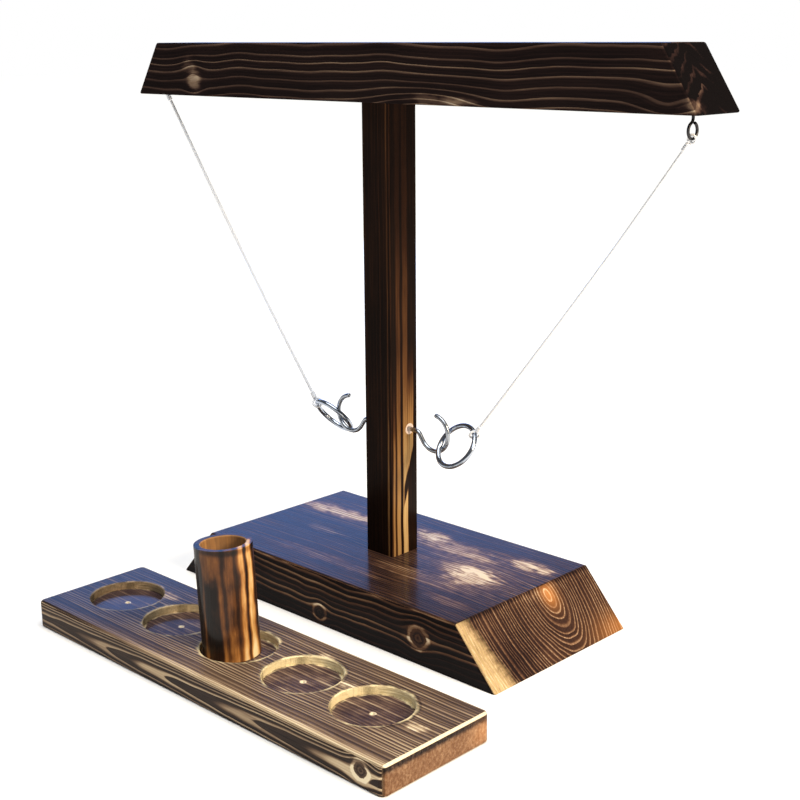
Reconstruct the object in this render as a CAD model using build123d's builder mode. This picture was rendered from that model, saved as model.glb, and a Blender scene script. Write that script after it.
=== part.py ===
from build123d import *
import math
import os

os.makedirs("parts", exist_ok=True)

# Tabletop ring toss stand with a drinks board. Millimetres, +Z up. The origin is the centre of the
# base block's underside, X runs along the crossbar and -Y is the side that the drinks board stands on.

# ---------------------------------------------------------------- driving dimensions
# stand
BASE_LENGTH, BASE_TOP_LENGTH, BASE_WIDTH, BASE_HEIGHT = 313.0, 246.0, 140.0, 38.0
POST_SIDE, POST_LENGTH = 26.0, 318.5
BAR_LENGTH, BAR_TOP_LENGTH, BAR_DEPTH, BAR_HEIGHT = 507.0, 457.0, 45.5, 38.5
BAR_SHIFT_Y = 2.6
EDGE_ROUND = 2.0
BAR_FRONT_ROUND, BAR_BACK_ROUND = 2.5, 3.5

# drinks board with five recesses, and the wooden cup that stands in the middle one
BOARD_LENGTH, BOARD_WIDTH, BOARD_THICKNESS = 338.0, 89.0, 19.0
BOARD_X, BOARD_Y = 22.5, -160.5
BOARD_CORNER_ROUND = 4.0
RECESS_DIAMETER, RECESS_DEPTH, RECESS_PITCH, RECESS_LIP = 51.0, 5.5, 61.0, 0.6
RECESS_ROW_X, RECESS_ROW_Y = 14.5, -157.5
CENTRE_MARK_DIAMETER, CENTRE_MARK_DEPTH = 3.0, 1.5
CUP_DIAMETER, CUP_HEIGHT, CUP_WALL, CUP_FLOOR = 37.8, 74.0, 4.5, 8.0
CUP_X, CUP_Y, CUP_LEAN = 9.3, -159.2, 3.8
CUP_SEAT_GAP = 0.2

# screw hooks in the post, one on each side; the bowl's centre is measured out and up from the shank
HOOK_WIRE, HOOK_BOWL_RADIUS = 3.2, 13.0
HOOK_THREAD_LENGTH, HOOK_ROOT, HOOK_CREST, HOOK_PITCH = 12.0, 2.5, 3.5, 1.4
HOOK_BOWL_OUT, HOOK_BOWL_UP = 23.7, 1.3
HOOK_JOIN_ANGLE, HOOK_TIP_ANGLE, HOOK_NECK_RADIUS = 215.0, 446.0, 5.0
HOOK_COUNTERSINK_RADIUS, HOOK_COUNTERSINK_DEPTH = 3.3, 1.0
RIGHT_HOOK_Y, RIGHT_HOOK_Z = 5.0, 130.0
LEFT_HOOK_Y, LEFT_HOOK_Z = -4.0, 133.0

# screw eyes under the crossbar; the left one is driven up into a drilled pocket
# (each eye's point is the centre of its wire at the bottom of the loop)
EYE_WIRE, EYE_LOOP_RADIUS, EYE_SHOULDER_RADIUS, EYE_LOOP_END_ANGLE = 1.8, 4.6, 3.0, 66.0
EYE_THREAD_LENGTH, EYE_ROOT, EYE_CREST, EYE_PITCH = 11.0, 1.5, 2.3, 1.0
RIGHT_EYE = Vector(236.5, 1.0, 342.4)
LEFT_EYE = Vector(-231.0, -10.0, 358.6)
EYE_POCKET_RADIUS, EYE_POCKET_DEPTH = 6.2, 14.5

# metal rings and the strings that tie them to the eyes
RING_WIRE, RING_RADIUS = 3.6, 15.7
RIGHT_RING_CENTRE, RIGHT_RING_NORMAL = Vector(59.8, 2.2, 127.3), Vector(-0.128, -0.776, 0.618)
LEFT_RING_CENTRE, LEFT_RING_NORMAL = Vector(-59.5, 0.5, 127.3), Vector(-0.10, -0.75, -0.654)
STRING = 2.2
KNOT_CLEARANCE, KNOT_TURNS, KNOT_CORE, KNOT_BULGE = 0.3, 4, 2.8, 3.6
RIGHT_ROUTE = [
    (231.2, 1.2, 335.8),
    (202.2, 2.4, 297.5),
    (170.9, 3.6, 257.7),
    (139.9, 4.8, 219.4),
    (107.8, 6.0, 180.3),
    (77.2, 7.2, 143.3),
]
LEFT_ROUTE = [
    (-226.0, -9.9, 351.7),
    (-197.8, -9.1, 310.4),
    (-167.5, -8.3, 267.4),
    (-137.5, -7.6, 225.7),
    (-106.3, -6.8, 183.5),
    (-76.0, -6.0, 143.6),
]

# wood screws that hold the post between the base and the crossbar
SCREW_SPREAD, SCREW_LENGTH = 15.0, 62.0
SCREW_SHANK, SCREW_ROOT, SCREW_CREST, SCREW_PITCH, SCREW_THREAD_LENGTH = 4.2, 2.9, 4.2, 2.2, 26.0
SCREW_HEAD, SCREW_HEAD_DEPTH, SCREW_SUNK, SCREW_CLEARANCE, SCREW_POINT = 8.2, 2.6, 1.5, 0.3, 4.0
DRIVE_SIDE, DRIVE_DEPTH = 2.6, 1.8

# ---------------------------------------------------------------- worked-out dimensions
BAR_BOTTOM = BASE_HEIGHT + POST_LENGTH
BAR_TOP = BAR_BOTTOM + BAR_HEIGHT
POST_HALF = POST_SIDE / 2
RECESS_FLOOR = BOARD_THICKNESS - RECESS_DEPTH
RECESS_CENTRES = [(RECESS_ROW_X + i * RECESS_PITCH, RECESS_ROW_Y) for i in range(-2, 3)]
SCREW_PLACES = [(0, -SCREW_SPREAD / 2), (0, SCREW_SPREAD / 2)]
SCREW_CONE_SLOPE = (SCREW_HEAD - SCREW_SHANK) / 2 / SCREW_HEAD_DEPTH
EYE_NECK = math.sqrt(2 * EYE_SHOULDER_RADIUS * EYE_LOOP_RADIUS + EYE_LOOP_RADIUS**2)


def save(piece, name):
    """Label a finished piece and write its STEP."""
    piece.part.label = name
    export_step(piece.part, f"parts/{name}.step")


def toothed_edge(root, crest, pitch, start, end):
    """(radius, distance) points of a thread's edge from start to end, one tooth to each pitch."""
    step = math.copysign(pitch, end - start)
    points = []
    for turn in range(int(abs(end - start) / pitch)):
        foot = start + turn * step
        points += [(root / 2, foot), (crest / 2, foot + 0.4 * step), (root / 2, foot + 0.8 * step)]
    return points


def tapered_block(bottom_length, top_length, depth, height, base_z, shift_y):
    """A block whose two ends slope inwards, with its long sides along X."""
    with BuildPart() as block:
        with BuildSketch(Plane.XZ.offset(-(shift_y + depth / 2))):
            with BuildLine():
                Polyline(
                    (-bottom_length / 2, base_z),
                    (bottom_length / 2, base_z),
                    (top_length / 2, base_z + height),
                    (-top_length / 2, base_z + height),
                    close=True,
                )
            make_face()
        extrude(amount=depth)
    return block.part


def screw_countersink():
    """A clearance hole right through, opening to a cone that the sunk screw head seats in."""
    CounterSinkHole(
        radius=SCREW_SHANK / 2 + SCREW_CLEARANCE,
        counter_sink_radius=SCREW_HEAD / 2 + SCREW_SUNK * SCREW_CONE_SLOPE,
        counter_sink_angle=2 * math.degrees(math.atan(SCREW_CONE_SLOPE)),
    )


# ---------------------------------------------------------------- stand: base, post, crossbar
with BuildPart() as base_block:
    add(tapered_block(BASE_LENGTH, BASE_TOP_LENGTH, BASE_WIDTH, BASE_HEIGHT, 0, 0))
    underside_edges = base_block.faces().sort_by(Axis.Z)[0].edges()
    fillet([edge for edge in base_block.edges() if edge not in underside_edges], EDGE_ROUND)
    with Locations(Plane.XY.rotated((180, 0, 0))):
        with Locations(*SCREW_PLACES):
            screw_countersink()

with BuildPart() as crossbar:
    add(tapered_block(BAR_LENGTH, BAR_TOP_LENGTH, BAR_DEPTH, BAR_HEIGHT, BAR_BOTTOM, BAR_SHIFT_Y))
    for side, radius in ((0, BAR_FRONT_ROUND), (-1, BAR_BACK_ROUND)):
        slanted_edges = crossbar.edges().filter_by(Axis.X, reverse=True).filter_by(Axis.Y, reverse=True)
        fillet(slanted_edges.group_by(Axis.Y)[side], radius)
    fillet(crossbar.faces().sort_by(Axis.Z)[-1].edges(), EDGE_ROUND)
    fillet(crossbar.faces().sort_by(Axis.Z)[0].edges(), EDGE_ROUND / 2)
    with Locations(Plane.XY.offset(BAR_TOP)):
        with Locations(*SCREW_PLACES):
            screw_countersink()
    # pilot hole of the right screw eye
    with Locations((RIGHT_EYE.X, RIGHT_EYE.Y, BAR_BOTTOM)):
        Cylinder(EYE_ROOT / 2, EYE_THREAD_LENGTH, align=(Align.CENTER, Align.CENTER, Align.MIN),
                 mode=Mode.SUBTRACT)
    # drilled pocket of the left screw eye, with its pilot hole above
    with Locations((LEFT_EYE.X, LEFT_EYE.Y, BAR_BOTTOM)):
        Cylinder(EYE_POCKET_RADIUS, EYE_POCKET_DEPTH, align=(Align.CENTER, Align.CENTER, Align.MIN),
                 mode=Mode.SUBTRACT)
        Cylinder(EYE_ROOT / 2, EYE_POCKET_DEPTH + EYE_THREAD_LENGTH,
                 align=(Align.CENTER, Align.CENTER, Align.MIN), mode=Mode.SUBTRACT)


def hook_plane(side, y, z):
    """Plane of one hook: local x runs out from the post's side face, local y runs up."""
    return Plane(origin=(side * POST_HALF, y, z), x_dir=(side, 0, 0), z_dir=(0, -side, 0))


HOOK_PLANES = {
    "left": hook_plane(-1, LEFT_HOOK_Y, LEFT_HOOK_Z),
    "right": hook_plane(1, RIGHT_HOOK_Y, RIGHT_HOOK_Z),
}

with BuildPart() as post:
    with Locations((0, 0, BASE_HEIGHT)):
        Box(POST_SIDE, POST_SIDE, POST_LENGTH, align=(Align.CENTER, Align.CENTER, Align.MIN))
    fillet(post.edges().filter_by(Axis.Z), EDGE_ROUND / 2)
    # pilot holes of the four wood screws
    for end_z, up in ((BASE_HEIGHT, 1), (BAR_BOTTOM, -1)):
        with Locations(*[(x, y, end_z + up * SCREW_THREAD_LENGTH / 2) for x, y in SCREW_PLACES]):
            Cylinder(SCREW_ROOT / 2, SCREW_THREAD_LENGTH, mode=Mode.SUBTRACT)
    # pilot hole of each hook, countersunk at the face
    for plane in HOOK_PLANES.values():
        with BuildSketch(plane):
            with BuildLine():
                Polyline(
                    (0, 0),
                    (0, HOOK_COUNTERSINK_RADIUS),
                    (-HOOK_COUNTERSINK_DEPTH, HOOK_CREST / 2),
                    (-HOOK_COUNTERSINK_DEPTH, HOOK_ROOT / 2),
                    (-HOOK_THREAD_LENGTH - HOOK_COUNTERSINK_DEPTH, HOOK_ROOT / 2),
                    (-HOOK_THREAD_LENGTH - HOOK_COUNTERSINK_DEPTH, 0),
                    close=True,
                )
            make_face()
        revolve(axis=Axis(plane.origin, plane.x_dir), mode=Mode.SUBTRACT)


# ---------------------------------------------------------------- wood screws
def wood_screw_outline():
    """Half section of a countersunk wood screw, with its head's top at height 0 and its point down."""
    thread_start, thread_end = SCREW_THREAD_LENGTH - SCREW_LENGTH, SCREW_POINT - SCREW_LENGTH
    outline = [(0, 0), (SCREW_HEAD / 2, 0), (SCREW_SHANK / 2, -SCREW_HEAD_DEPTH)]
    outline.append((SCREW_SHANK / 2, thread_start))
    outline += toothed_edge(SCREW_ROOT, SCREW_CREST, SCREW_PITCH, thread_start, thread_end)
    return outline + [(0, -SCREW_LENGTH)]


with BuildPart() as wood_screw:
    with BuildSketch(Plane.XZ):
        with BuildLine():
            Polyline(wood_screw_outline(), close=True)
        make_face()
    revolve(axis=Axis.Z)
    with BuildSketch(Plane.XY):
        Rectangle(DRIVE_SIDE, DRIVE_SIDE)
    extrude(amount=-DRIVE_DEPTH, mode=Mode.SUBTRACT)

with BuildPart() as crossbar_screws:
    for x, y in SCREW_PLACES:
        add(wood_screw.part.moved(Location((x, y, BAR_TOP - SCREW_SUNK))))

with BuildPart() as base_screws:
    for x, y in SCREW_PLACES:
        add(wood_screw.part.moved(Location((x, y, SCREW_SUNK), (180, 0, 0))))


# ---------------------------------------------------------------- drinks board and cup
with BuildPart() as shot_board:
    with Locations((BOARD_X, BOARD_Y, 0)):
        Box(BOARD_LENGTH, BOARD_WIDTH, BOARD_THICKNESS, align=(Align.CENTER, Align.CENTER, Align.MIN))
    fillet(shot_board.edges().filter_by(Axis.Z), BOARD_CORNER_ROUND)
    fillet(shot_board.faces().sort_by(Axis.Z)[-1].edges(), EDGE_ROUND)
    fillet(shot_board.faces().sort_by(Axis.Z)[0].edges(), EDGE_ROUND / 2)
    with BuildSketch(Plane.XY.offset(BOARD_THICKNESS)):
        with Locations(*RECESS_CENTRES):
            Circle(RECESS_DIAMETER / 2)
    extrude(amount=-RECESS_DEPTH, mode=Mode.SUBTRACT)
    recess_rims = shot_board.edges().filter_by(GeomType.CIRCLE).filter_by(
        lambda edge: edge.radius == RECESS_DIAMETER / 2 and edge.center().Z > RECESS_FLOOR + 1)
    chamfer(recess_rims, RECESS_LIP)
    # the mark that the drill's point leaves in the middle of each recess
    with Locations(*[(x, y, RECESS_FLOOR) for x, y in RECESS_CENTRES]):
        Cone(0.2, CENTRE_MARK_DIAMETER / 2, CENTRE_MARK_DEPTH,
             align=(Align.CENTER, Align.CENTER, Align.MAX), mode=Mode.SUBTRACT)

# the cup leans a little, because its foot is cut slightly out of square
cup_axis = Vector(-math.sin(math.radians(CUP_LEAN)), 0, math.cos(math.radians(CUP_LEAN)))
cup_foot = Vector(CUP_X, CUP_Y, RECESS_FLOOR + CUP_SEAT_GAP)
with BuildPart() as wooden_cup:
    with BuildSketch(Plane(origin=cup_foot - cup_axis * CUP_FLOOR, z_dir=cup_axis)):
        Circle(CUP_DIAMETER / 2)
    extrude(amount=CUP_HEIGHT + CUP_FLOOR)
    with BuildSketch(Plane(origin=cup_foot + cup_axis * CUP_FLOOR, z_dir=cup_axis)):
        Circle(CUP_DIAMETER / 2 - CUP_WALL)
    extrude(amount=CUP_HEIGHT, mode=Mode.SUBTRACT)
    split(bisect_by=Plane.XY.offset(cup_foot.Z), keep=Keep.TOP)
    fillet(wooden_cup.edges().group_by(Axis.Z)[-1], CUP_WALL / 5)
    fillet(wooden_cup.edges().group_by(Axis.Z)[0], CUP_WALL / 6)


# ---------------------------------------------------------------- hooks and eyes
def screw_hook(plane):
    """A round-bowl hook bent from wire, with a wood thread on its shank."""
    join = math.radians(HOOK_JOIN_ANGLE)
    join_out = HOOK_BOWL_OUT + HOOK_BOWL_RADIUS * math.cos(join)
    join_up = HOOK_BOWL_UP + HOOK_BOWL_RADIUS * math.sin(join)
    neck_corner = join_out + join_up * math.tan(join)
    thread_end = -HOOK_COUNTERSINK_DEPTH - HOOK_THREAD_LENGTH
    with BuildPart() as hook:
        with BuildLine(plane) as wire:
            FilletPolyline((-HOOK_COUNTERSINK_DEPTH, 0), (neck_corner, 0), (join_out, join_up),
                           radius=HOOK_NECK_RADIUS)
            CenterArc((HOOK_BOWL_OUT, HOOK_BOWL_UP), HOOK_BOWL_RADIUS, HOOK_JOIN_ANGLE,
                      HOOK_TIP_ANGLE - HOOK_JOIN_ANGLE)
        with BuildSketch(Plane(origin=wire.wire() @ 0, z_dir=wire.wire() % 0)):
            Circle(HOOK_WIRE / 2)
        sweep(path=wire.wire())
        tip_face = hook.faces().filter_by(GeomType.PLANE).sort_by(Axis.Z)[-1]
        fillet(tip_face.edges(), HOOK_WIRE / 3)
        with BuildSketch(plane):
            with BuildLine():
                teeth = toothed_edge(HOOK_ROOT, HOOK_CREST, HOOK_PITCH, -HOOK_COUNTERSINK_DEPTH, thread_end)
                Polyline([(-HOOK_COUNTERSINK_DEPTH, 0)] + [(x, r) for r, x in teeth] + [(thread_end, 0)],
                         close=True)
            make_face()
        revolve(axis=Axis(plane.origin, plane.x_dir))
    return hook


def screw_eye(bottom, shank_top):
    """An eye bent from wire in the YZ plane, closed but for a small gap, with a wood thread above it."""
    loop_centre = bottom + Vector(0, 0, EYE_LOOP_RADIUS)
    plane = Plane(origin=loop_centre, x_dir=(0, 1, 0), z_dir=(1, 0, 0))
    shoulder_turn = math.degrees(math.atan2(EYE_NECK, EYE_SHOULDER_RADIUS))
    top, thread_end = shank_top - loop_centre.Z, shank_top - loop_centre.Z + EYE_THREAD_LENGTH
    with BuildPart() as eye:
        with BuildLine(plane) as wire:
            Line((0, top), (0, EYE_NECK))
            CenterArc((-EYE_SHOULDER_RADIUS, EYE_NECK), EYE_SHOULDER_RADIUS, 0, -shoulder_turn)
            CenterArc((0, 0), EYE_LOOP_RADIUS, 180 - shoulder_turn,
                      180 + shoulder_turn + EYE_LOOP_END_ANGLE)
        with BuildSketch(Plane(origin=wire.wire() @ 0, z_dir=wire.wire() % 0)):
            Circle(EYE_WIRE / 2)
        sweep(path=wire.wire())
        with BuildSketch(plane):
            with BuildLine():
                teeth = toothed_edge(EYE_ROOT, EYE_CREST, EYE_PITCH, top, thread_end)
                Polyline([(0, top)] + teeth + [(0, thread_end)], close=True)
            make_face()
        revolve(axis=Axis(plane.origin, plane.y_dir))
    return eye


left_screw_hook = screw_hook(HOOK_PLANES["left"])
right_screw_hook = screw_hook(HOOK_PLANES["right"])
left_screw_eye = screw_eye(LEFT_EYE, BAR_BOTTOM + EYE_POCKET_DEPTH)
right_screw_eye = screw_eye(RIGHT_EYE, BAR_BOTTOM)


# ---------------------------------------------------------------- rings, strings and their knots
def metal_ring(centre, normal):
    """A closed ring of round wire."""
    with BuildPart() as ring:
        with Locations(Plane(origin=centre, z_dir=normal)):
            Torus(RING_RADIUS, RING_WIRE / 2)
    return ring


def tie_point(centre, normal, eye):
    """Centre of the ring's wire at the point of the ring that is nearest to the eye."""
    unit = normal.normalized()
    towards_eye = eye - centre
    in_plane = (towards_eye - unit * towards_eye.dot(unit)).normalized()
    return centre + in_plane * RING_RADIUS, unit.cross(in_plane)


def string_tube(route):
    """The string along its route: straight runs joined by arcs as large as the runs allow."""
    points = [Vector(*point) for point in route]
    radii = []
    for before, corner, after in zip(points, points[1:], points[2:]):
        run_in, run_out = corner - before, after - corner
        half_turn = math.radians(run_in.get_angle(run_out)) / 2
        radii.append(0.45 * min(run_in.length, run_out.length) / math.tan(half_turn))
    with BuildPart() as tube:
        with BuildLine() as path:
            FilletPolyline(points, radius=radii)
        with BuildSketch(Plane(origin=points[0], z_dir=points[1] - points[0])):
            Circle(STRING / 2)
        sweep(path=path.wire())
    length = path.wire().length
    expected = math.pi * (STRING / 2) ** 2 * length
    print("string", round(length, 1), "mm, volume ratio", round(tube.part.volume / expected, 4),
          "radii", [round(radius) for radius in radii])
    return tube


def string_knot(wire_centre, wire_axis, wire_diameter, string_end, string_next):
    """A turn of string round a wire and the wrapped knot between it and the string's end."""
    loop_radius = wire_diameter / 2 + KNOT_CLEARANCE + STRING / 2
    heading = (string_next - string_end).normalized()
    knot_length = (string_end - wire_centre).length - loop_radius
    turn_length = knot_length / KNOT_TURNS
    with BuildPart() as knot:
        with Locations(Plane(origin=wire_centre, z_dir=wire_axis)):
            Torus(loop_radius, STRING / 2)
        with BuildSketch(Plane(origin=string_end, x_dir=-heading, z_dir=heading.cross(wire_axis))):
            with BuildLine():
                for turn in range(KNOT_TURNS):
                    start = turn * turn_length
                    ThreePointArc((start, KNOT_CORE / 2), (start + turn_length / 2, KNOT_BULGE / 2),
                                  (start + turn_length, KNOT_CORE / 2))
                Polyline((knot_length, KNOT_CORE / 2), (knot_length, 0), (0, 0), (0, KNOT_CORE / 2))
            make_face()
        revolve(axis=Axis(string_end, -heading))
    return knot


SIDES = {
    "left": (LEFT_RING_CENTRE, LEFT_RING_NORMAL, LEFT_EYE, LEFT_ROUTE),
    "right": (RIGHT_RING_CENTRE, RIGHT_RING_NORMAL, RIGHT_EYE, RIGHT_ROUTE),
}
for side, (centre, normal, eye, route) in SIDES.items():
    tie, ring_wire_axis = tie_point(centre, normal, eye)
    route_start, route_second = Vector(*route[0]), Vector(*route[1])
    route_end, route_last = Vector(*route[-1]), Vector(*route[-2])
    save(metal_ring(centre, normal), f"{side}_ring")
    save(string_tube(route), f"{side}_string")
    save(string_knot(eye, Vector(0, 1, 0), EYE_WIRE, route_start, route_second), f"{side}_eye_knot")
    save(string_knot(tie, ring_wire_axis, RING_WIRE, route_end, route_last), f"{side}_ring_knot")

# ---------------------------------------------------------------- write the other pieces
save(base_block, "base_block")
save(post, "post")
save(crossbar, "crossbar")
save(base_screws, "base_screws")
save(crossbar_screws, "crossbar_screws")
save(shot_board, "shot_board")
save(wooden_cup, "wooden_cup")
save(left_screw_hook, "left_screw_hook")
save(right_screw_hook, "right_screw_hook")
save(left_screw_eye, "left_screw_eye")
save(right_screw_eye, "right_screw_eye")
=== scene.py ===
"""Ring toss set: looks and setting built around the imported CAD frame. Metres, in the CAD frame."""

import copy
import math

import bpy
from mathutils import Matrix, Vector


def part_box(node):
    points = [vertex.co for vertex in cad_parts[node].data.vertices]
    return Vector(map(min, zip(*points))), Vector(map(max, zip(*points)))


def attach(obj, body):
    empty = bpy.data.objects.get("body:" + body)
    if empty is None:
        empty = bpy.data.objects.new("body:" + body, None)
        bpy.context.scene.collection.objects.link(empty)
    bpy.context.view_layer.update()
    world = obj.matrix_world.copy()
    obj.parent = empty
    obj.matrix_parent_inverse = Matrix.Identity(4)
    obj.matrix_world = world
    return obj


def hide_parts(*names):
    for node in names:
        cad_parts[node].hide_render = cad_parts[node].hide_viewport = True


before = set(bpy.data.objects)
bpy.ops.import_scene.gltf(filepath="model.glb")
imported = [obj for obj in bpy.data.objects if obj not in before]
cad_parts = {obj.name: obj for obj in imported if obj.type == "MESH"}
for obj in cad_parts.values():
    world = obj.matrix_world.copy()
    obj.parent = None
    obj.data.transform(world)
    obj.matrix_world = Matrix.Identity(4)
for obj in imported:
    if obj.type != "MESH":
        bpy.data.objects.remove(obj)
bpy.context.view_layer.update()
MM = 0.001
NOISE_SPREAD = 2.4  # widens a noise texture to about -1 to 1
PARTING_REACH, PARTING_SHARE = 1.7, 0.92  # how far round a knot the grain parts, and how fully

# ---------------------------------------------------------------- camera
CAMERA_PLACE = Vector((0.66899, -0.68521, 0.40102))
CAMERA_TURN, CAMERA_TILT, CAMERA_ROLL = 43.937, 75.292, -0.407
SENSOR_WIDTH, LENS = 36.0, 62.93

camera = bpy.data.objects.new("camera", bpy.data.cameras.new("camera"))
bpy.context.scene.collection.objects.link(camera)
camera.data.sensor_width, camera.data.lens = SENSOR_WIDTH, LENS
camera.data.clip_start, camera.data.clip_end = 0.02, 50
camera.matrix_world = (
    Matrix.Translation(CAMERA_PLACE)
    @ Matrix.Rotation(math.radians(CAMERA_TURN), 4, "Z")
    @ Matrix.Rotation(math.radians(CAMERA_TILT), 4, "X")
    @ Matrix.Rotation(math.radians(CAMERA_ROLL), 4, "Z")
)
bpy.context.scene.camera = camera


# ---------------------------------------------------------------- fields: values over a surface
class Field:
    """A value that varies over a surface, held as a node socket, so that patterns read as sums."""

    def __init__(self, tree, socket):
        self.tree, self.socket = tree, socket

    def node(self, kind, **settings):
        made = self.tree.nodes.new(kind)
        for name, value in settings.items():
            setattr(made, name, value)
        return made

    def wire(self, value, socket):
        if isinstance(value, Field):
            self.tree.links.new(value.socket, socket)
        else:
            socket.default_value = value

    def math(self, operation, *others):
        made = self.node("ShaderNodeMath", operation=operation)
        for value, socket in zip((self, *others), made.inputs):
            self.wire(value, socket)
        return Field(self.tree, made.outputs[0])

    def __add__(self, other):
        return self.math("ADD", other)

    def __sub__(self, other):
        return self.math("SUBTRACT", other)

    def __mul__(self, other):
        return self.math("MULTIPLY", other)

    def __truediv__(self, other):
        return self.math("DIVIDE", other)

    def __neg__(self):
        return self.math("MULTIPLY", -1.0)

    def flip(self):
        """1 where this is 0, and 0 where it is 1."""
        return (-self) + 1.0

    def abs(self):
        return self.math("ABSOLUTE")

    def least(self, other):
        return self.math("MINIMUM", other)

    def most(self, other):
        return self.math("MAXIMUM", other)

    def fraction(self):
        return self.math("FRACT")

    def square(self):
        return self.math("MULTIPLY", self)

    def root(self):
        return self.math("SQRT")

    def step(self, low, high):
        """A smooth step from 0 at low to 1 at high; low above high falls instead."""
        made = self.node("ShaderNodeMapRange", interpolation_type="SMOOTHSTEP")
        if low > high:
            return self.step(high, low).flip()
        for value, socket in zip((self, low, high, 0.0, 1.0), made.inputs):
            self.wire(value, socket)
        return Field(self.tree, made.outputs[0])

    def blend(self, other, share):
        """This where share is 0, and other where it is 1."""
        return self * share.flip() + other * share

    def ramp(self, stops):
        """A colour for each value, from (value, colour) stops."""
        made = self.node("ShaderNodeValToRGB")
        line = made.color_ramp
        while len(line.elements) < len(stops):
            line.elements.new(0.5)
        for element, (place, colour) in zip(line.elements, stops):
            element.position = place
            element.color = (*colour, 1.0)
        self.wire(self, made.inputs[0])
        return Field(self.tree, made.outputs[0])

    def tint(self, other, share):
        """This colour where share is 0, and the other where it is 1."""
        made = self.node("ShaderNodeMix", data_type="RGBA")
        self.wire(share, made.inputs[0])
        self.wire(self, made.inputs[6])
        self.wire((*other, 1.0), made.inputs[7])
        return Field(self.tree, made.outputs[2])


class Surface:
    """The place, in millimetres, and the normal of the points of one piece's surface."""

    def __init__(self, tree):
        self.tree = tree
        source = tree.nodes.new("ShaderNodeTexCoord")
        self.x, self.y, self.z = [axis * 1000.0 for axis in self.split(source.outputs["Object"])]
        self.nx, self.ny, self.nz = self.split(source.outputs["Normal"])

    def split(self, socket):
        made = self.tree.nodes.new("ShaderNodeSeparateXYZ")
        self.tree.links.new(socket, made.inputs[0])
        return [Field(self.tree, output) for output in made.outputs]

    def noise(self, sizes, detail=2.0, seed=0.0, roughness=0.5):
        """Noise from -1 to 1 whose features are sizes millimetres long in x, y and z."""
        joined = self.tree.nodes.new("ShaderNodeCombineXYZ")
        for axis, size, socket in zip((self.x, self.y, self.z), sizes, joined.inputs):
            axis.wire(axis / size + seed, socket)
        made = self.tree.nodes.new("ShaderNodeTexNoise")
        self.tree.links.new(joined.outputs[0], made.inputs["Vector"])
        made.inputs["Scale"].default_value = 1.0
        made.inputs["Detail"].default_value = detail
        made.inputs["Roughness"].default_value = roughness
        return (Field(self.tree, made.outputs["Fac"]) - 0.5) * NOISE_SPREAD

    def wave(self, value, seed=0.0):
        """A smooth random curve from -1 to 1 of a single value, with one bend to each unit."""
        made = self.tree.nodes.new("ShaderNodeTexNoise")
        made.noise_dimensions = "1D"
        made.inputs["Scale"].default_value = 1.0
        made.inputs["Detail"].default_value = 1.0
        value.wire(value + seed, made.inputs["W"])
        return (Field(self.tree, made.outputs["Fac"]) - 0.5) * NOISE_SPREAD

    def spot(self, centre, sizes):
        """1 at centre, fading to 0 over about sizes millimetres in x, y and z."""
        total = None
        for axis, middle, size in zip((self.x, self.y, self.z), centre, sizes):
            part = ((axis - middle) / size).square()
            total = part if total is None else total + part
        return (-total).math("EXPONENT")

    def parted(self, axis, knots):
        """The same surface with its grain pushed aside along one axis by each (centre, sizes) knot."""
        twin, value = copy.copy(self), getattr(self, axis)
        for centre, sizes, *_ in knots:
            middle = centre["xyz".index(axis)]
            near = self.spot(centre, [size * PARTING_REACH for size in sizes])
            value = value + ((-value) + middle) * near * PARTING_SHARE
        setattr(twin, axis, value)
        return twin

    def rings(self, pith, width, sway, ripple=0.6, grain="x", seed=0.0, tall=1.0):
        """Growth rings round a pith that runs along the grain, as a count of rings."""
        if grain == "x":
            across, slow, fast = (self.y, self.z), (95, 900, 900), (38, 16, 16)
        else:
            across, slow, fast = (self.x, self.y), (900, 900, 95), (16, 16, 38)
        u = across[0] - pith[0] + self.noise(slow, 1.0, seed) * sway
        v = (across[1] - pith[1] + self.noise(slow, 1.0, seed + 9.0) * sway) / tall
        radius = (u.square() + v.square()).root() + self.noise(fast, 2.0, seed + 4.0) * ripple
        return radius / width + self.wave(radius / (width * 4.0), seed) * 0.9


def material(name, metallic=0.0, **constants):
    """A new material and its shader; constants are the shader's sockets that are the same all over."""
    made = bpy.data.materials.new(name)
    made.use_nodes = True
    shader = made.node_tree.nodes["Principled BSDF"]
    shader.inputs["Metallic"].default_value = metallic
    for socket, value in constants.items():
        shader.inputs[socket.replace("_", " ")].default_value = value
    return made, shader


def relief(height, shader, depth):
    """Bump on a shader, with depth in metres between a height of 0 and of 1."""
    bump = height.node("ShaderNodeBump")
    bump.inputs["Distance"].default_value = depth
    bump.inputs["Strength"].default_value = 1.0
    height.wire(height, bump.inputs["Height"])
    height.tree.links.new(bump.outputs[0], shader.inputs["Normal"])


# ---------------------------------------------------------------- torched wood
CHAR_TONES = [
    (0.0, (0.006, 0.0045, 0.005)),
    (0.2, (0.020, 0.011, 0.010)),
    (0.4, (0.070, 0.033, 0.020)),
    (0.6, (0.20, 0.112, 0.062)),
    (0.8, (0.45, 0.31, 0.19)),
    (1.0, (0.74, 0.61, 0.42)),
]
DUSK_TONES = [
    (0.0, (0.005, 0.0042, 0.0045)),
    (0.2, (0.019, 0.011, 0.010)),
    (0.4, (0.066, 0.040, 0.030)),
    (0.6, (0.19, 0.128, 0.085)),
    (0.8, (0.40, 0.31, 0.22)),
    (1.0, (0.66, 0.57, 0.44)),
]
TAN_TONES = [
    (0.0, (0.009, 0.006, 0.006)),
    (0.2, (0.035, 0.022, 0.017)),
    (0.4, (0.11, 0.069, 0.045)),
    (0.6, (0.25, 0.172, 0.108)),
    (0.8, (0.50, 0.385, 0.245)),
    (1.0, (0.82, 0.72, 0.51)),
]
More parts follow.
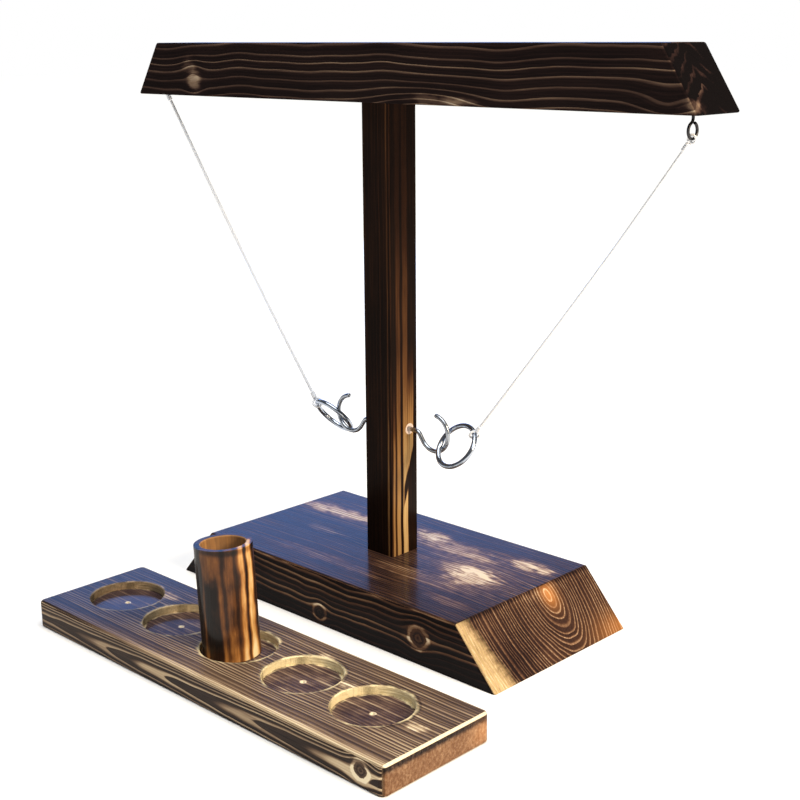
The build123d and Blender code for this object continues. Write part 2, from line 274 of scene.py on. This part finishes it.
AMBER_TONES = [
    (0.0, (0.006, 0.0035, 0.003)),
    (0.2, (0.028, 0.012, 0.007)),
    (0.4, (0.120, 0.046, 0.015)),
    (0.6, (0.34, 0.145, 0.038)),
    (0.8, (0.62, 0.36, 0.13)),
    (1.0, (0.84, 0.68, 0.40)),
]
HONEY_TONES = [
    (0.0, (0.007, 0.004, 0.003)),
    (0.2, (0.030, 0.012, 0.006)),
    (0.4, (0.105, 0.046, 0.017)),
    (0.6, (0.29, 0.155, 0.055)),
    (0.8, (0.58, 0.40, 0.18)),
    (1.0, (0.84, 0.73, 0.47)),
]


def late_wood(count, start=0.45, crest=0.86, evenness=0.45):
    """A line in each growth ring that fades in slowly and ends sharply, stronger in some rings."""
    turn = count.fraction()
    chance = count.node("ShaderNodeTexWhiteNoise", noise_dimensions="1D")
    count.wire(count.math("FLOOR"), chance.inputs["W"])
    strength = Field(count.tree, chance.outputs["Value"]) * (1.0 - evenness) + evenness
    return turn.step(start, crest) * turn.step(1.0, 0.95) * strength


def torched_wood(name, node, paint, tones, grain="x", streaks=0.10, shine=0.15):
    """Dress a CAD piece in torched, brushed and varnished pine.

    paint gives the lightness, the lines of the growth rings and the varnish's gloss, and then
    any (colour, share) tints.
    """
    made, shader = material(name, Coat_Roughness=0.17, Specular_IOR_Level=shine, Coat_IOR=1.5)
    surface = Surface(made.node_tree)
    light, lines, gloss, *tints = paint(surface)
    long_way = (1.0, 1.0, 60.0) if grain == "z" else (60.0, 1.0, 1.0)
    fibre = surface.noise([size * 1.1 for size in long_way], 3.0, 31.0)
    pores = surface.noise([size * 0.3 for size in long_way], 2.0, 57.0)
    cloud = surface.noise([size**0.5 * 9.0 for size in long_way], 3.0, 71.0)
    value = light + fibre * (cloud * 0.4 + 1.0) * streaks + pores * streaks * 0.5 + cloud * 0.03
    colour = value.ramp(tones)
    for tint, share in tints:
        colour = colour.tint(tint, share)
    value.wire(colour, shader.inputs["Base Color"])
    value.wire(lines * 0.12 + 0.42 + fibre * 0.06, shader.inputs["Roughness"])
    value.wire(gloss, shader.inputs["Coat Weight"])
    relief(lines * 0.8 + fibre * 0.35 + pores * 0.2, shader, 0.28 * MM)
    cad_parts[node].data.materials.clear()
    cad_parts[node].data.materials.append(made)


def node_box(node):
    """A CAD piece's lowest and highest corners in millimetres."""
    return [[value / MM for value in corner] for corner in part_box(node)]


def spots(s, light, places, streak):
    """Paler places on a piece, with ragged edges along the grain: (centre, sizes, gain) for each."""
    for number, (place, sizes, gain) in enumerate(places):
        ragged = s.noise(streak, 4.0, number * 3.0) * 1.1 + 1.0
        light = light + (s.spot(place, sizes) * ragged).step(0.12, 0.85) * gain
    return light


def knot(s, light, centre, radius, side):
    """A branch's knot, end on in a face whose normal is along side, with a pale bark ring round it."""
    axes = [(axis, middle) for name, axis, middle in zip("xyz", (s.x, s.y, s.z), centre) if name != side]
    reach = ((axes[0][0] - axes[0][1]).square() * 0.8 + (axes[1][0] - axes[1][1]).square()).root()
    reach = reach + s.noise((4, 4, 4), 2.0, centre[0]) * radius * 0.16
    depth = [axis for name, axis in zip("xyz", (s.x, s.y, s.z)) if name == side][0]
    near = (depth - centre["xyz".index(side)]).abs().step(9.0, 6.0)
    inside = reach.step(radius * 0.85, radius * 0.7) * near
    bark = reach.step(radius * 0.66, radius * 0.86) * reach.step(radius * 1.3, radius * 0.98) * near
    heart = late_wood(reach / (radius * 0.36), 0.3, 0.7, 0.5) * 0.22 + 0.20
    return light.blend(heart, inside) + bark * 0.42


BASE_FRONT_KNOTS = (((-3.7, -70, 9), (6, 30, 5), 6.0), ((91, -70, 18.4), (7.5, 30, 6.5), 8.0))
BASE_TOP_KNOTS = (((84, 4, 38), (14, 6, 30)), ((98, 41, 38), (10, 4, 30)))
BASE_PALE = (
    ((-3.7, -70, 9), (11, 30, 8), 0.10),
    ((91, -70, 18), (14, 30, 9), 0.14),
    ((79, -2, 38), (23, 18, 9), 0.50),
    ((62, 3, 38), (20, 9, 9), 0.24),
    ((97, 40, 38), (20, 9, 9), 0.50),
    ((3, 40, 38), (18, 8, 9), 0.50),
    ((34, 30, 38), (40, 13, 9), 0.36),
    ((-84, 30, 38), (46, 9, 9), 0.50),
    ((-66, -6, 38), (22, 5, 9), 0.22),
    ((50, -28, 38), (44, 10, 9), 0.18),
    ((-20, -46, 38), (60, 7, 9), 0.16),
    ((84, 8, 38), (62, 40, 9), 0.15),
    ((-40, 26, 38), (110, 30, 9), 0.08),
    ((95, -46, 38), (20, 6, 9), 0.20),
)


BASE_TOP, BASE_HALF_WIDTH = 38.0, 70.0


def paint_base(s):
    front = s.ny.abs().step(0.5, 0.8)
    end = s.nx.abs().step(0.4, 0.6)
    top = s.nz.step(0.85, 0.95)
    radial = s.parted("y", BASE_TOP_KNOTS).rings((21.0, 31.5), 2.7, 5.0, 0.9, seed=2.0, tall=1.35)
    flow = s.parted("z", BASE_FRONT_KNOTS)
    layers = flow.z / 4.7 + s.noise((60, 900, 50), 2.0, 5.0) * 0.9 + s.noise((170, 900, 900), 1.0, 8.0)
    count = radial.blend(layers, front)
    fine = late_wood(count, 0.40, 0.84)
    broad = late_wood(count, 0.50, 0.86, 0.6)
    patches = s.noise((60, 26, 26), 3.0, 12.0)
    brushed = s.noise((46, 1.5, 900), 4.0, 21.0)
    light = patches * 0.05 + front.flip() * 0.09 + 0.03 + fine * (patches * 0.18 + 0.52) * front
    light = light + top * (fine * 0.30 + brushed.step(-0.1, 0.8) * 0.26)
    grit = s.noise((3, 1.2, 1.2), 2.0, 44.0)
    smudge = s.noise((30, 24, 14), 2.0, 3.0)
    light = light + end * (broad * (grit * 0.16 + 0.42) + 0.14 + smudge * 0.08)
    light = light - s.spot((150, -34, 10), (30, 20, 13)) * end * 0.12
    light = spots(s, light, BASE_PALE, (9, 4, 6))
    for centre, _, radius in BASE_FRONT_KNOTS:
        light = knot(s, light, centre, radius, "y")
    wedge = s.y + s.z * 0.30 + s.noise((30, 5, 2.2), 3.0, 6.0) * 4.0
    strip = wedge.step(-44.0, -56.0) * end
    light = light + strip * (s.noise((9, 1.3, 9), 3.0, 4.0) * 0.30 + 0.34 - broad * 0.16)
    from_edge = (s.y + BASE_HALF_WIDTH).abs().most((s.z - BASE_TOP).abs())
    wear = from_edge + s.noise((18, 4, 4), 3.0, 15.0) * 0.8
    light = light + wear.step(1.6, 0.5) * 0.30
    # the end's far lower corner and the glow spot below are painted brighter and orange: painted warm
    # light
    corner = s.spot((156, 70, 2), (14, 26, 10)) * end
    scorched = (s.z - BASE_TOP).abs().step(3.0, 0.0) * end * 0.20
    underneath = (s.z - s.noise((60, 900, 900), 1.0, 3.0) * 6.0).step(18.0, 4.0) * front
    light = light - underneath * 0.24 - scorched + corner * 0.10
    glow = s.spot((128, 20, 32), (30, 7, 7)) * end
    return (
        light + glow * 0.26,
        fine.blend(broad, end),
        top * (brushed * -0.16 + 0.40) + 0.04,
        ((0.62, 0.24, 0.06), (glow * 0.5 + corner * 0.35).least(1.0)),
        ((0.86, 0.66, 0.30), strip * (broad * -0.3 + 0.35)),
    )


def paint_post(s):
    right, front = s.nx.step(0.5, 0.8), s.ny.abs().step(0.5, 0.8)
    patches = s.noise((20, 20, 60), 3.0, 14.0)
    sway = s.noise((900, 30, 75), 2.0, 3.0) * 1.7
    across = s.y + sway
    hair = late_wood(across / 1.9, 0.5, 0.8, 0.1)
    height = s.z + s.noise((900, 5, 40), 2.0, 7.0) * 16.0

    def stripe(middle, half, share):
        return (across - middle).abs().step(half + 0.9, half - 0.5) * share

    low = height.step(175.0, 110.0)
    stripes = stripe(-6.3, 1.9, 0.85) + stripe(0.9, 2.4, 1.0) + low * stripe(-10.9, 1.1, 0.8)
    # the gold wedge beside the right hook, with a charred notch across it below
    wedge = (across - 6.6).abs().step(3.6, 2.2) * (s.z - 160.0 - across).step(34.0, -22.0)
    wedge = wedge * (s.z - 88.0 - across * 3.0).step(-2.0, 2.0)
    notch = (s.z - 83.0 - across * 3.0).abs().step(9.0, 5.0) * (across + 1.5).step(0.0, 2.0)
    gold = (stripes * notch.flip() + wedge).least(1.0) * (hair * -0.22 + 1.0)
    fall = height.step(360.0, 190.0) * 0.16 + height.step(230.0, 70.0) * 0.48 + 0.09
    count = s.rings((-15.0, 80.0), 4.4, 3.0, 1.0, "z", 1.5)
    lines = late_wood(count, 0.20, 0.60, 0.6)
    light = patches * 0.04 + 0.02 + right * gold * (fall + patches * 0.08)
    light = light + s.nx.abs().step(0.5, 0.8) * right.flip() * lines * 0.3
    hairlines = late_wood((s.x + s.noise((5, 900, 70), 2.0, 9.0) * 2.0) / 3.4, 0.6, 0.9, 0.1)
    corner = (s.x - 9.6 + sway * 0.6).abs().step(1.9, 0.6) * front
    light = light + front * (hairlines * 0.24 + patches * 0.05) + corner * (low * 0.20 + 0.10)
    # the raw wood that shows where the right hook is screwed in
    raw = s.spot((13.0, 5, 130), (3.6, 4.6, 4.6)).step(0.42, 0.56)
    gloss = right * height.step(120.0, 60.0) * 0.14 + 0.05
    return light, gold.blend(lines, right.flip()), gloss, ((0.90, 0.72, 0.62), raw)


BAR_KNOT = (((-184, -20, 368), (7, 30, 6)),)
BAR_BUMPS = (((52, -20, 353), (36, 30, 13), -2.3), ((232, -10, 360), (20, 30, 12), 1.1))
BAR_PALE = (
    ((-183, -20, 368), (8, 30, 9), 0.42),
    ((-189, -20, 378), (8, 30, 8), 0.22),
    ((60, -20, 360), (24, 30, 4), 0.30),
    ((84, -20, 359), (16, 30, 3), 0.25),
    ((250, -22, 361), (10, 12, 5), 0.42),
)


def paint_bar(s):
    count = s.parted("z", BAR_KNOT).rings((12.0, 232.0), 5.9, 4.0, 0.7, seed=3.0)
    for place, sizes, lift in BAR_BUMPS:
        count = count + s.spot(place, sizes) * lift
    end = s.nx.step(0.4, 0.6)
    ridge = s.z + (s.y + 2.0).abs() * 0.75 + s.noise((20, 7, 9), 2.0, 4.0) * 3.6
    chevrons = late_wood(ridge / 8.5, 0.52, 0.86, 0.5)
    lines = late_wood(count, 0.64, 0.90, 0.55)
    minor = late_wood(count * 3.0 + s.noise((60, 8, 8), 2.0, 8.0) * 0.5, 0.5, 0.9, 0.0)
    patches = s.noise((80, 30, 18), 3.0, 12.0)
    sides = patches * 0.06 + 0.09 + lines * (patches * 0.14 + 0.44) + minor * 0.10
    shown = s.noise((30, 14, 12), 1.0, 2.0).step(-0.5, 0.4) * (s.y - 12.0).step(8.0, -6.0)
    marks = chevrons * shown * 0.50
    light = sides.blend(marks - 0.10, end)
    light = spots(s, light, BAR_PALE, (18, 4, 5))
    return light, lines.blend(chevrons, end), s.nz.step(0.85, 0.95) * 0.3 + 0.02


RECESS_MIDDLE, RECESS_Y, RECESS_GAP = 14.5, -157.5, 61.0
RECESSES = [(RECESS_MIDDLE + RECESS_GAP * step, RECESS_Y) for step in range(-2, 3)]
SCORCH_HEIGHT = 14.0
BOARD_KNOT = (((174, -205, 10.5), (6, 30, 5)),)
BOARD_PALE = (
    ((108, -150, 19), (9, 5, 5), 0.36),
    ((174, -160, 19), (8, 5, 5), 0.36),
    ((69, -131, 19), (7, 3, 5), 0.45),
    ((88, -166, 19), (8, 3, 5), 0.30),
    ((-88, -139, 19), (14, 6, 5), 0.36),
    ((-30, -137, 19), (10, 4, 5), 0.30),
)


def paint_board(s):
    low, high = node_box("shot_board")
    radial = s.rings((20.0, 8.0), 2.7, 2.2, 0.6, seed=5.0)
    front = s.ny.abs().step(0.5, 0.8)
    flow = s.parted("z", BOARD_KNOT)
    arch = (s.x + 62.0) / 74.0 - ((flow.z - 8.0) / 5.6).square() + s.noise((70, 900, 40), 2.0, 5.0) * 0.6
    count = radial.blend(arch, front)
    lines = late_wood(count, 0.20, 0.80, 0.35)
    bold = late_wood(count, 0.42, 0.82, 0.65)
    end = s.nx.abs().step(0.5, 0.8)
    top = s.nz.step(0.7, 0.9)
    patches = s.noise((70, 18, 18), 3.0, 12.0)
    # the far left of the board: its coat is glossier, and its top and recess walls are painted darker
    # there as painted shade; the pale edge band stops short of it
    far_side_gloss_and_shade = (s.x + s.y * -0.4).step(110.0, -70.0)
    light = patches * 0.07 + 0.26 + top * lines * (patches * 0.16 + 0.44) - far_side_gloss_and_shade * top * 0.24
    light = light + front * (bold * 0.74 - 0.13 + (s.z - 5.0).step(2.0, -5.0) * -0.10)
    speckle = s.noise((4, 2.2, 2.2), 3.0, 6.0)
    scorch = (s.z - SCORCH_HEIGHT).step(-1.0, 2.0) * -0.30
    light = light + end * (speckle * 0.34 + s.noise((20, 16, 8), 2.0, 2.0) * 0.14 + 0.15 + scorch)
    light = knot(s, light, BOARD_KNOT[0][0], 6.0, "y")
    # a brighter, orange spot at the end's far corner: painted warm light
    far_corner = s.spot((191, -121, 8), (30, 10, 7)) * end
    light = light + far_corner * 0.28
    # raw wood on the recess walls and lips, and along the worn edges; the pale band along the near long
    # top edge is partly worn wood and partly a painted highlight
    nearest = None
    for cx, cy in RECESSES:
        reach = ((s.x - cx).square() + (s.y - cy).square()).root()
        nearest = reach if nearest is None else nearest.least(reach)
    inside = nearest.step(24.6, 24.0) * top
    light = light - inside * (s.noise((18, 9, 900), 3.0, 5.0).step(-0.5, 0.5) * 0.34 - 0.10)
    lip = nearest + s.noise((7, 7, 7), 4.0, 21.0) * 1.5
    ring = lip.step(23.4, 24.4) * lip.step(28.2, 26.0)
    upright = s.nz.abs().step(0.9, 0.5)
    worn = s.noise((13, 13, 13), 3.0, 3.0).step(-0.3, 0.35) * 0.9
    wall = (ring * (upright + worn)).least(1.0)
    # the recess walls are painted less pale on the far side: painted shade
    light = light.most(wall * (s.noise((5, 5, 3), 3.0, 8.0) * 0.22 + 0.90 - far_side_gloss_and_shade * 0.40))
    groove = (nearest - 28.0).abs().step(1.3, 0.3) * (s.x * 0.6 + s.y).step(-120.0, -40.0) * top
    light = light - groove * 0.14
    for cx, cy in RECESSES:
        light = light + s.spot((cx, cy, 13), (2.4, 2.4, 4)).step(0.25, 0.6) * 0.75
    edge = (s.x - high[0]).abs() + s.noise((6, 30, 6), 2.0, 2.0) * 0.4
    light = light.most(edge.step(2.4, 1.6) * s.nz.step(0.2, 0.4) * 0.98)
    # a pale band along the near long top edge: partly worn wood, partly a painted highlight where the
    # bevel catches the light
    long_edge = (s.y - low[1]) + s.noise((40, 5, 5), 3.0, 2.0) * 1.4
    edge_wear_and_highlight = long_edge.step(6.5, 3.0) * s.nz.step(0.2, 0.6) * far_side_gloss_and_shade.flip()
    light = light.most(edge_wear_and_highlight * (lines * -0.30 + 0.86))
    light = spots(s, light, BOARD_PALE, (8, 2.5, 5))
    gloss = top * far_side_gloss_and_shade * 0.36 + inside * far_side_gloss_and_shade * 0.25 + 0.05
    # orange on the end face below the char and at its far corner: painted warm light
    warm_painted_light = (end * (s.z - SCORCH_HEIGHT).step(2.0, -2.0) * 0.26 + far_corner * 0.35).least(1.0)
    violet = inside * 0.22
    return (
        light,
        lines,
        gloss,
        ((0.40, 0.17, 0.06), warm_painted_light),
        ((0.10, 0.055, 0.075), violet),
        # the cream on the recess walls fades on the far side as painted shade
        ((0.84, 0.73, 0.42), wall * (far_side_gloss_and_shade * -0.5 + 0.6)),
    )


CUP_CENTRE, CUP_FOOT, CUP_RIM, CUP_LEAN = (9.3, -159.2), 13.7, 86.5, 0.0664


def paint_cup(s):
    out_x = s.x - CUP_CENTRE[0] + (s.z - CUP_FOOT) * CUP_LEAN
    out_y = s.y - CUP_CENTRE[1]
    bore = (out_x.square() + out_y.square()).root().step(15.4, 14.9)
    across = out_x * 0.62 + out_y * 0.78 + s.noise((20, 20, 26), 2.0, 3.0) * 1.5
    near_side = (out_x * 0.78 - out_y * 0.62).step(-4.0, 0.0)
    count = s.rings((48.0, -215.0), 4.4, 2.0, 1.6, "z", 7.0)
    lines = late_wood(count, 0.30, 0.75, 0.3)
    patches = s.noise((7, 7, 14), 4.0, 19.0)
    foot = (s.z - CUP_FOOT + patches * 6.0).step(16.0, 4.0)

    def stripe(middle, half, share):
        return (across - middle).abs().step(half + 1.2, half - 0.8) * near_side * share

    light = patches * 0.22 + 0.34 + lines * 0.08
    light = light - stripe(-9.5, 4.2, 0.40) * (s.z - 66.0 + patches * 8.0).step(8.0, -10.0)
    light = light - stripe(-18.0, 2.4, 0.42) - stripe(-1.5, 0.9, 0.20) - stripe(6.4, 0.8, 0.18)
    light = light + stripe(10.4, 1.3, 0.34) + stripe(15.6, 1.5, 0.46) - stripe(13.0, 0.7, 0.26)
    light = light - stripe(18.0, 0.8, 0.2) + foot * 0.22
    light = light.blend(patches * 0.16 + 0.44 + lines * 0.2, bore)
    height = s.z - CUP_RIM
    rim = height.step(-3.0, 0.0) * height.step(2.0, 1.0) * bore.flip()
    return light - rim * 0.2, lines, bore.flip() * 0.28 + 0.04, ((0.42, 0.25, 0.12), bore * 0.4)


torched_wood("base_wood_look", "base_block", paint_base, CHAR_TONES, shine=0.02)
torched_wood("post_wood_look", "post", paint_post, HONEY_TONES, "z", 0.07, shine=0.0)
torched_wood("bar_wood_look", "crossbar", paint_bar, DUSK_TONES, streaks=0.07, shine=0.0)
torched_wood("board_wood_look", "shot_board", paint_board, TAN_TONES, streaks=0.16, shine=0.05)
torched_wood("cup_wood_look", "wooden_cup", paint_cup, AMBER_TONES, "z", 0.09, shine=0.05)


# ---------------------------------------------------------------- metal
def plated_metal(name, colour, roughness, nodes):
    """Bright plated steel with faint drawing marks and a few dull spots."""
    made, shader = material(name, metallic=1.0)
    surface = Surface(made.node_tree)
    marks = surface.noise((0.5, 0.5, 0.5), 3.0, 3.0)
    dull = surface.noise((5, 5, 5), 3.0, 8.0)
    tone = (dull * 0.25 + 0.5).ramp([(0.0, [c * 0.78 for c in colour]), (1.0, colour)])
    tone.wire(tone, shader.inputs["Base Color"])
    tone.wire(dull * 0.05 + marks * 0.03 + roughness, shader.inputs["Roughness"])
    relief(marks * 0.5 + dull * 0.5, shader, 0.03 * MM)
    for node in nodes:
        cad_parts[node].data.materials.clear()
        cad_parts[node].data.materials.append(made)


plated_metal("zinc_look", (0.42, 0.46, 0.52), 0.27, ["left_screw_hook", "right_screw_hook"])
# the screw eyes are near black: partly a dark zinc finish, partly painted shade for the dark
# surroundings they reflect
plated_metal("dark_zinc_and_painted_shade_look", (0.045, 0.045, 0.05), 0.36, ["left_screw_eye", "right_screw_eye"])
plated_metal("nickel_look", (0.46, 0.52, 0.62), 0.20, ["left_ring", "right_ring"])
plated_metal("screw_look", (0.12, 0.12, 0.13), 0.45, ["base_screws", "crossbar_screws"])

# ---------------------------------------------------------------- strings
STRING = 2.2 * MM
STRAND_TWIST = 5.0 * MM
EYE_WIRE, RING_WIRE, RING_RADIUS = 1.8 * MM, 3.6 * MM, 15.7 * MM
KNOT_CLEARANCE, KNOT_TURNS = 0.3 * MM, 4
WRAP_RADIUS, WRAP_STRAND = 1.05 * MM, 0.82 * MM
LOOP_STEPS, WRAP_STEPS, CORE_STEPS = 40, 20, 12
CORD_GAP, WRAP_GAP = 0.4 * MM, 0.25 * MM
RIGHT_ROUTE = [
    (231.2, 1.2, 335.8),
    (202.2, 2.4, 297.5),
    (170.9, 3.6, 257.7),
    (139.9, 4.8, 219.4),
    (107.8, 6.0, 180.3),
    (77.2, 7.2, 143.3),
]
LEFT_ROUTE = [
    (-226.0, -9.9, 351.7),
    (-197.8, -9.1, 310.4),
    (-167.5, -8.3, 267.4),
    (-137.5, -7.6, 225.7),
    (-106.3, -6.8, 183.5),
    (-76.0, -6.0, 143.6),
]

string_look, string_shader = material("string_look", Sheen_Weight=0.25, Sheen_Roughness=0.5)
cloth = Surface(string_look.node_tree)
fuzz = cloth.noise((0.35, 0.35, 0.35), 3.0, 1.0)
shade = (fuzz * 0.12 + cloth.noise((14, 14, 14), 2.0, 5.0) * 0.15 + 0.75).ramp(
    [(0.0, (0.66, 0.69, 0.76)), (1.0, (0.90, 0.94, 1.0))]
)
shade.wire(shade, string_shader.inputs["Base Color"])
shade.wire(fuzz * 0.05 + 0.8, string_shader.inputs["Roughness"])
relief(fuzz, string_shader, 0.03 * MM)


def spline_points(name, route):
    """Points along the smooth line of a route, read from its own spline."""
    curve = bpy.data.curves.new(name, "CURVE")
    curve.dimensions = "3D"
    spline = curve.splines.new("NURBS")
    spline.points.add(len(route) - 1)
    for point, place in zip(spline.points, route):
        point.co = (*[value * MM for value in place], 1.0)
    spline.order_u = 3
    spline.use_endpoint_u = True
    spline.resolution_u = 80
    holder = bpy.data.objects.new(name, curve)
    line = bpy.data.meshes.new_from_object(holder)
    points = [vertex.co.copy() for vertex in line.vertices]
    bpy.data.objects.remove(holder)
    bpy.data.meshes.remove(line)
    bpy.data.curves.remove(curve)
    return points


def evenly(points, gap):
    """The same line as points a fixed gap apart."""
    spaced, left = [points[0]], gap
    for start, end in zip(points, points[1:]):
        run = (end - start).length
        while run >= left:
            start = start.lerp(end, left / run)
            run = (end - start).length
            spaced.append(start)
            left = gap
        left -= run
    if (spaced[-1] - points[-1]).length > gap * 0.1:
        spaced.append(points[-1])
    return spaced


def twisted_tube(name, paths, radius, closed=False):
    """A cord of three twisted strands along each path, as one mesh with rounded ends."""
    sides, lobes, groove = 18, 3, 0.10
    places, faces = [], []
    for path in paths:
        count, offset = len(path), len(places)
        side = None
        travelled = 0.0
        for index, centre in enumerate(path):
            before = path[index - 1] if index or closed else path[0]
            after = path[(index + 1) % count] if index < count - 1 or closed else path[-1]
            heading = (after - before).normalized()
            if side is None:
                side = heading.orthogonal().normalized()
            side = (side - heading * side.dot(heading)).normalized()
            across = heading.cross(side)
            ends = 1.0
            if not closed:
                reach = min(index, count - 1 - index) / 3.0
                ends = math.sqrt(max(0.02, 1.0 - max(0.0, 1.0 - reach) ** 2))
            for step in range(sides):
                angle = 2 * math.pi * step / sides
                turn = lobes * angle / 2 - lobes * math.pi * travelled / STRAND_TWIST
                size = radius * ends * (1.0 - groove * (1.0 - abs(math.cos(turn))))
                places.append(centre + (side * math.cos(angle) + across * math.sin(angle)) * size)
            travelled += (path[(index + 1) % count] - centre).length if index < count - 1 else 0.0
        for ring in range(count if closed else count - 1):
            here, there = offset + ring * sides, offset + (ring + 1) % count * sides
            for step in range(sides):
                follow = (step + 1) % sides
                faces.append((here + step, here + follow, there + follow, there + step))
        if not closed:
            faces.append([offset + step for step in reversed(range(sides))])
            faces.append([offset + (count - 1) * sides + step for step in range(sides)])
    mesh = bpy.data.meshes.new(name)
    mesh.from_pydata(places, [], faces)
    mesh.validate()
    mesh.shade_smooth()
    mesh.materials.append(string_look)
    piece = bpy.data.objects.new(name, mesh)
    bpy.context.scene.collection.objects.link(piece)
    return piece


def knot_path(wire_centre, wire_axis, wire, string_end, string_next):
    """One string that loops round a wire and is wrapped back round itself up to the string's end."""
    heading = (string_next - string_end).normalized()
    loop_radius = wire / 2 + KNOT_CLEARANCE + STRING / 2
    axis = wire_axis.normalized()
    up = (heading - axis * heading.dot(axis)).normalized()
    across = axis.cross(up)
    points = []
    # once round the wire, drifting a little along it
    for step in range(LOOP_STEPS + 1):
        angle = 2 * math.pi * step / LOOP_STEPS
        drift = axis * (step / LOOP_STEPS - 0.5) * STRING * 0.7
        outwards = (up * math.cos(angle) + across * math.sin(angle)) * loop_radius
        points.append(wire_centre + outwards + drift)
    # wrapped turns round the standing part
    start = wire_centre + up * (loop_radius + STRING * 0.3)
    length = (string_end - start).length
    side = across
    depth = heading.cross(side).normalized()
    for step in range(1, KNOT_TURNS * WRAP_STEPS + 1):
        angle = 2 * math.pi * step / WRAP_STEPS
        middle = start + (string_end - start).normalized() * length * step / (KNOT_TURNS * WRAP_STEPS)
        points.append(middle + (side * math.cos(angle) + depth * math.sin(angle)) * WRAP_RADIUS)
    core_end = string_end + heading * STRING
    core = [start.lerp(core_end, share / CORE_STEPS) for share in range(CORE_STEPS + 1)]
    return points, core


def tie_point(centre, normal, eye):
    """The ring's wire at the point nearest to the eye, and the wire's direction there."""
    unit = normal.normalized()
    towards = eye - centre
    in_plane = (towards - unit * towards.dot(unit)).normalized()
    return centre + in_plane * RING_RADIUS, unit.cross(in_plane)


TETHERS = {
    "left": (
        LEFT_ROUTE,
        Vector((-231.0, -10.0, 358.6)) * MM,
        Vector((-59.5, 0.5, 127.3)) * MM,
        Vector((-0.10, -0.75, -0.654)),
    ),
    "right": (
        RIGHT_ROUTE,
        Vector((236.5, 1.0, 342.4)) * MM,
        Vector((59.8, 2.2, 127.3)) * MM,
        Vector((-0.128, -0.776, 0.618)),
    ),
}
for side_name, (route, eye_place, ring_centre, ring_normal) in TETHERS.items():
    body = f"{side_name}_tether"
    line = evenly(spline_points(f"{side_name}_line", route), CORD_GAP)
    length = sum((b - a).length for a, b in zip(line, line[1:]))
    cord = twisted_tube(f"{side_name}_cord", [line], STRING / 2)
    tie, tie_axis = tie_point(ring_centre, ring_normal, eye_place)
    for place, wire_axis, wire, end, inner, label in (
        (eye_place, Vector((0, 1, 0)), EYE_WIRE, line[0], line[12], "eye_knot"),
        (tie, tie_axis, RING_WIRE, line[-1], line[-13], "ring_knot"),
    ):
        wrapped, core = knot_path(place, wire_axis, wire, end, inner)
        strands = [evenly(wrapped, WRAP_GAP), evenly(core, CORD_GAP)]
        knot = twisted_tube(f"{side_name}_{label}_wraps", strands, WRAP_STRAND)
        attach(knot, body)
        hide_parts(f"{side_name}_{label}")
    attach(cord, body)
    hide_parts(f"{side_name}_string")

# ---------------------------------------------------------------- floor, light and surroundings
FLOOR_HALF, FLOOR_Z = 12.0, -0.0003
floor_mesh = bpy.data.meshes.new("floor")
floor_mesh.from_pydata(
    [(x * FLOOR_HALF, y * FLOOR_HALF, FLOOR_Z) for x, y in ((-1, -1), (1, -1), (1, 1), (-1, 1))],
    [],
    [(0, 1, 2, 3)],
)
floor = bpy.data.objects.new("floor", floor_mesh)
bpy.context.scene.collection.objects.link(floor)
floor_look, floor_shader = material("floor_look", Roughness=0.9, Specular_IOR_Level=0.1)
floor_shader.inputs["Base Color"].default_value = (0.93, 0.93, 0.92, 1)
floor_mesh.materials.append(floor_look)


def softbox(name, place, target, size, power, colour):
    """A square or oblong studio light that faces a target and isn't itself seen."""
    data = bpy.data.lights.new(name, "AREA")
    data.shape = "RECTANGLE"
    data.size, data.size_y = size
    data.energy = power
    data.color = colour
    lamp = bpy.data.objects.new(name, data)
    lamp.location = place
    lamp.rotation_euler = (Vector(target) - Vector(place)).to_track_quat("-Z", "Y").to_euler()
    lamp.visible_camera = False
    bpy.context.scene.collection.objects.link(lamp)


softbox("warm_key", (1.7, 0.05, 0.95), (0.05, -0.05, 0.1), (0.5, 0.5), 40, (1.0, 0.80, 0.56))
softbox("blue_panel", (-1.305, 1.144, 0.50), (0.095, 0.164, 0.04), (1.4, 0.52), 6.2, (0.16, 0.38, 1.0))

sky_data = bpy.data.lights.new("overhead", "SUN")
sky_data.energy, sky_data.angle, sky_data.color = 3.3, math.radians(55), (1.0, 0.99, 0.97)
sky = bpy.data.objects.new("overhead", sky_data)
sky.rotation_euler = (math.radians(6), math.radians(8), 0)
bpy.context.scene.collection.objects.link(sky)

world = bpy.data.worlds.new("surroundings")
bpy.context.scene.world = world
world.use_nodes = True
back = world.node_tree.nodes["Background"]
paths = world.node_tree.nodes.new("ShaderNodeLightPath")
seen = Field(world.node_tree, paths.outputs["Is Camera Ray"])
seen.wire(seen * 0.88 + 0.12, back.inputs["Strength"])
back.inputs["Color"].default_value = (1, 1, 1, 1)
bpy.context.scene.view_settings.view_transform = "Standard"
